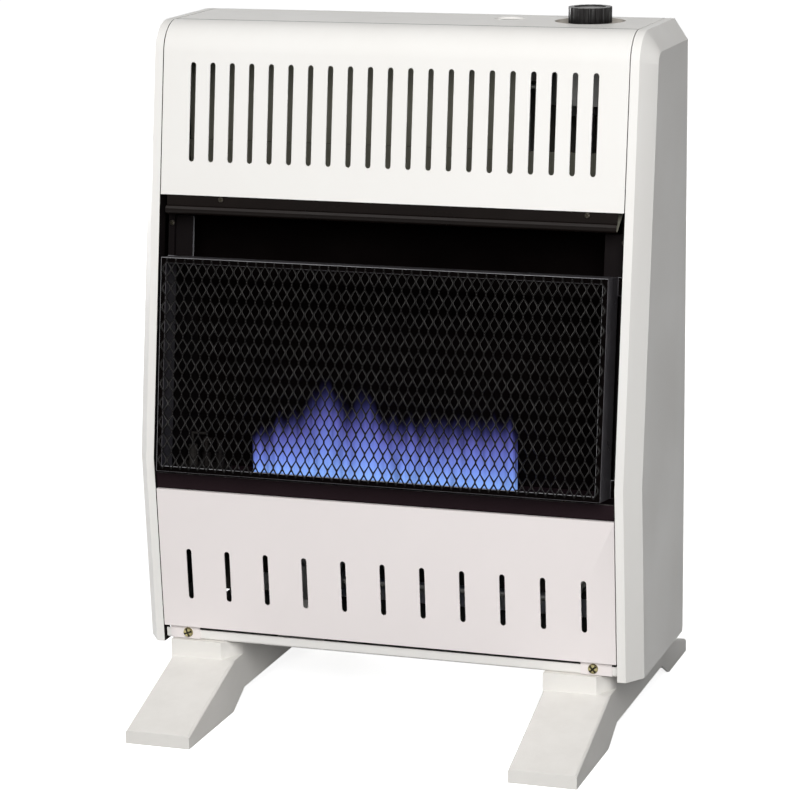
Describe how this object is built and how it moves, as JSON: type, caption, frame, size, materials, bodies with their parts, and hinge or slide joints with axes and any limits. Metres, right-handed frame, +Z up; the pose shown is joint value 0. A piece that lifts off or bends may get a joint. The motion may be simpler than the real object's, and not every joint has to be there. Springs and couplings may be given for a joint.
{
  "type": "ventless gas heater",
  "caption": "Freestanding ventless propane heater: leaning steel cabinet with slotted panels, burner behind an expanded-metal guard, knob and igniter button on top, two long feet.",
  "frame": {"origin": "on the floor, under the middle of the feet", "axes": "+Z up, +X to the right seen from the front, the front faces -Y"},
  "size_m": [0.46, 0.395, 0.6262],
  "materials": {
    "cream_paint": "satin",
    "black_paint": "matte",
    "bare_steel": "satin",
    "brass": "satin",
    "foot_plastic": "satin",
    "dark_steel": "matte",
    "cast_aluminium": "cast",
    "ceramic": "gloss",
    "black_plastic": "satin",
    "grey_plastic": "satin",
    "lead_rubber": "matte",
    "line_aluminium": "satin"
  },
  "bodies": {
    "cabinet": {"left_side_panel": "cream_paint", "right_side_panel": "cream_paint", "top_panel": "cream_paint", "upper_front_panel": "cream_paint", "lower_front_panel": "cream_paint", "back_panel": "cream_paint", "base_pan": "cream_paint", "left_foot": "foot_plastic", "right_foot": "foot_plastic", "firebox_floor": "black_paint", "firebox_left_side": "black_paint", "firebox_right_side": "black_paint", "firebox_back": "black_paint", "hood": "black_paint", "upper_baffle": "dark_steel", "guard_frame": "black_paint", "guard_mesh": "black_paint", "burner_tube": "bare_steel", "burner_left_saddle": "bare_steel", "burner_right_saddle": "bare_steel", "venturi": "cast_aluminium", "injector_bracket": "bare_steel", "injector": "brass", "pilot_bracket": "bare_steel", "pilot_burner": "bare_steel", "pilot_electrode": "ceramic", "thermocouple": "bare_steel", "control_bracket": "bare_steel", "valve_body": "cast_aluminium", "valve_bonnet": "cast_aluminium", "igniter_body": "black_plastic", "igniter_nut": "bare_steel", "igniter_lead": "lead_rubber", "gas_inlet": "brass", "regulator": "cast_aluminium", "regulator_bracket": "bare_steel", "inlet_tube": "line_aluminium", "burner_line": "line_aluminium", "pilot_line": "line_aluminium", "thermocouple_lead": "brass", "panel_screws": "brass"},
    "push_rod": {"valve_plunger": "brass"},
    "control_knob": {"control_knob": "black_plastic", "valve_stem": "brass"},
    "igniter": {"igniter_button": "grey_plastic"}
  },
  "joints": [
    {"name": "knob_push", "type": "slide", "parent": "cabinet", "child": "push_rod", "axis": [0, 0, -1], "range_m": [0, 0.005], "stiffness_N_per_m": 2000},
    {"name": "knob_turn", "type": "hinge", "parent": "push_rod", "child": "control_knob", "pos_m": [0.152, 0.0355, 0.6], "axis": [0, 0, 1], "range_deg": [0, 240]},
    {"name": "igniter_push", "type": "slide", "parent": "cabinet", "child": "igniter", "axis": [0, 0, -1], "range_m": [0, 0.007], "stiffness_N_per_m": 2500}
  ]
}
